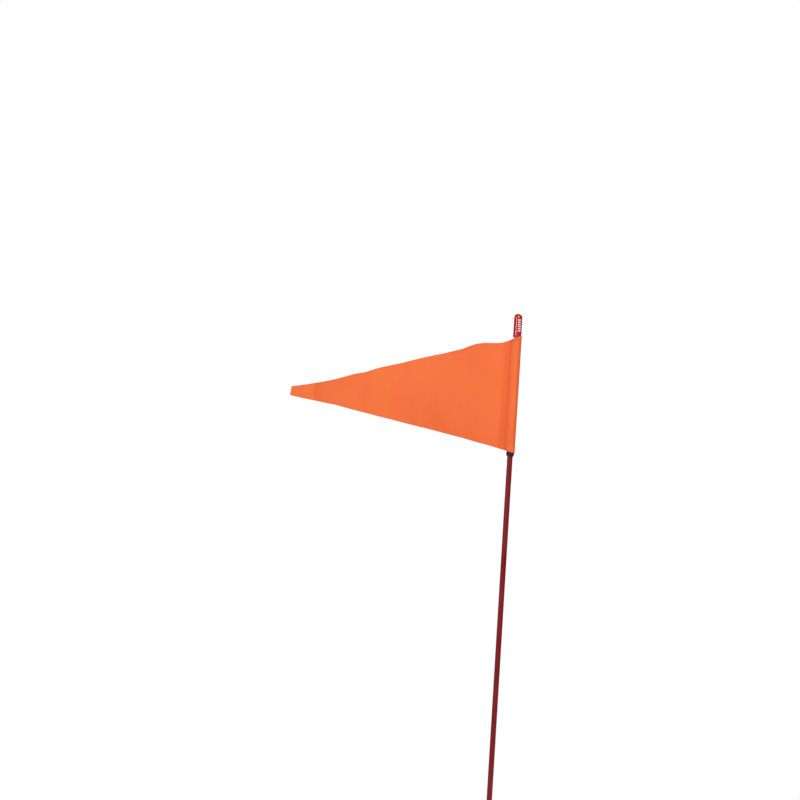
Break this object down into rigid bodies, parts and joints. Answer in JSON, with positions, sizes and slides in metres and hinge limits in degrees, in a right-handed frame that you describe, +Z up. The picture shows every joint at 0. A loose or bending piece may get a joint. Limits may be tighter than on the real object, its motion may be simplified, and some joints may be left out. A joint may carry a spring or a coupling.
{
  "type": "safety flag whip",
  "caption": "Tall thin rod with a triangular orange pennant sewn round it, a push-on tip cap, a retaining ring and a threaded base stud with washer and nut.",
  "frame": {"origin": "centre of the ferrule's shoulder, the face that sits on the vehicle's bracket", "axes": "+Z up along the rod to the cap, -Z along the threaded stud, -X the way the pennant streams at rest, +Y away from the side the printed mark faces"},
  "size_m": [0.3994, 0.0172, 1.2444],
  "materials": {
    "fibreglass": "pultruded glass fibre and resin, satin, unseen under the jacket",
    "rod_vinyl": "dark red extruded vinyl, semi-gloss, faint draw lines along the rod",
    "nickel_plate": "nickel-plated steel, turned and crimped, lightly handled",
    "epoxy": "cured adhesive, unseen in the socket",
    "zinc_steel": "bright zinc-plated steel with tool marks",
    "cap_vinyl": "glossy red dip-moulded vinyl",
    "mark_print": "white ink, slightly worn",
    "ring_rubber": "black rubber, matt",
    "flag_nylon": "fluorescent orange plain-weave nylon, coated, softly creased",
    "stitch_thread": "orange polyester sewing thread, lockstitch"
  },
  "bodies": {
    "pole": {"rod_core": "fibreglass", "rod_jacket": "rod_vinyl", "ferrule": "nickel_plate", "ferrule_bond": "epoxy", "base_stud": "zinc_steel"},
    "cap": {"tip_cap": "cap_vinyl", "cap_mark": "mark_print"},
    "ring": {"retaining_ring": "ring_rubber"},
    "flag": {"pole_sleeve": "flag_nylon", "pennant_panel": "flag_nylon", "sleeve_stitching": "stitch_thread"},
    "washer": {"lock_washer": "zinc_steel"},
    "nut": {"mounting_nut": "zinc_steel"}
  },
  "joints": [
    {"name": "cap_pull_off", "type": "slide", "parent": "pole", "child": "cap", "axis": [0, 0, 1], "range_m": [0, 0.06]},
    {"name": "ring_slide", "type": "slide", "parent": "pole", "child": "ring", "axis": [0, 0, 1], "range_m": [-0.9, 0]},
    {"name": "flag_swing", "type": "hinge", "parent": "ring", "child": "flag", "pos_m": [0, 0, 1.07], "axis": [0, 0, 1], "continuous": true},
    {"name": "washer_travel", "type": "slide", "parent": "pole", "child": "washer", "axis": [0, 0, 1], "range_m": [-0.01271, 0.00318]},
    {"name": "nut_turn", "type": "hinge", "parent": "washer", "child": "nut", "pos_m": [0, 0, -0.0084], "axis": [0, 0, 1], "range_deg": [-4320, 1080]}
  ],
  "couplings": [
    {"joint": "washer_travel", "follows": "nut_turn", "m_per_rad": 0.00016844}
  ]
}
